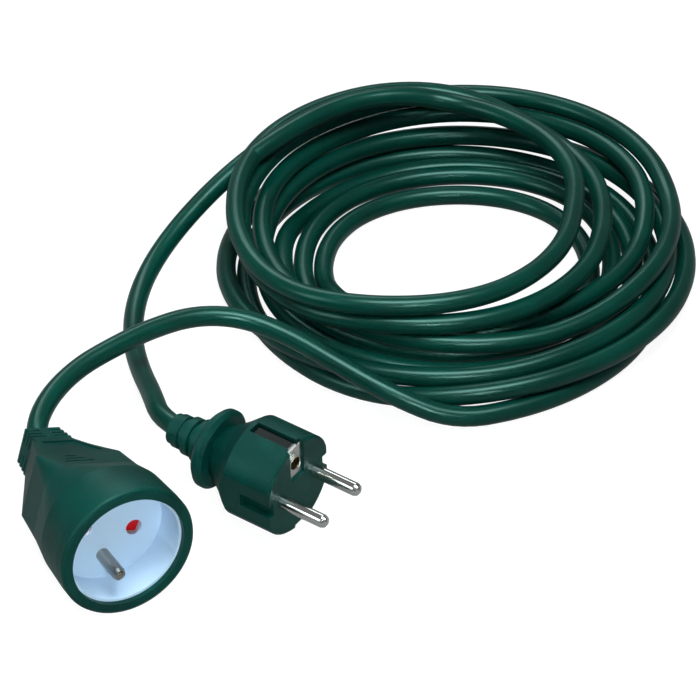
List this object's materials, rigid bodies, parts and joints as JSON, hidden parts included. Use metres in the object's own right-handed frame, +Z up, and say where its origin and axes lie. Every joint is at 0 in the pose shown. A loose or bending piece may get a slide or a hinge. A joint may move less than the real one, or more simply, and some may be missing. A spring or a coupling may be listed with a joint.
{
  "type": "extension cord",
  "caption": "Domestic extension cord: a round sheathed cord lying in a loose coil, with an earthed trailing socket on one end and a moulded earthed plug on the other.",
  "frame": {"origin": "on the floor, under the centre of the trailing socket's bounding box", "axes": "+Z up; the socket's recess opens towards -Y and its cord leaves towards +Y; the plug and the coil lie on the +X side"},
  "size_m": [0.3161, 0.226, 0.0488],
  "materials": {
    "green_pvc": "moulded soft PVC, dark green, satin",
    "green_sheath": "extruded PVC sheath, dark green, satin",
    "pale_plastic": "moulded, pale blue-white",
    "red_plastic": "moulded, red",
    "spring_steel": "drawn wire",
    "nickel": "nickel-plated brass, bright",
    "brass": "stamped and rolled",
    "core_brown": "PVC core insulation",
    "core_blue": "PVC core insulation",
    "core_green_yellow": "PVC core insulation, green and yellow"
  },
  "bodies": {
    "cord_set": {"socket_body": "green_pvc", "socket_insert": "pale_plastic", "shutter_spring": "spring_steel", "contact_carrier": "pale_plastic", "socket_earth_pin": "nickel", "socket_line_contact": "brass", "socket_neutral_contact": "brass", "socket_line_core": "core_brown", "socket_neutral_core": "core_blue", "socket_earth_core": "core_green_yellow", "lead_to_socket": "green_sheath", "coil": "green_sheath", "lead_to_plug": "green_sheath", "plug_body": "green_pvc", "plug_bridge": "pale_plastic", "plug_line_pin": "nickel", "plug_neutral_pin": "nickel", "earth_clip": "nickel", "earth_contact": "brass", "plug_line_core": "core_brown", "plug_neutral_core": "core_blue", "plug_earth_core": "core_green_yellow"},
    "shutter": {"socket_shutter": "red_plastic"}
  },
  "joints": [
    {"name": "shutter_slide", "type": "slide", "parent": "cord_set", "child": "shutter", "axis": [0.2756, 0, 0.9613], "range_m": [0, 0.006], "stiffness_N_per_m": 100, "deforming": ["shutter_spring"]}
  ]
}
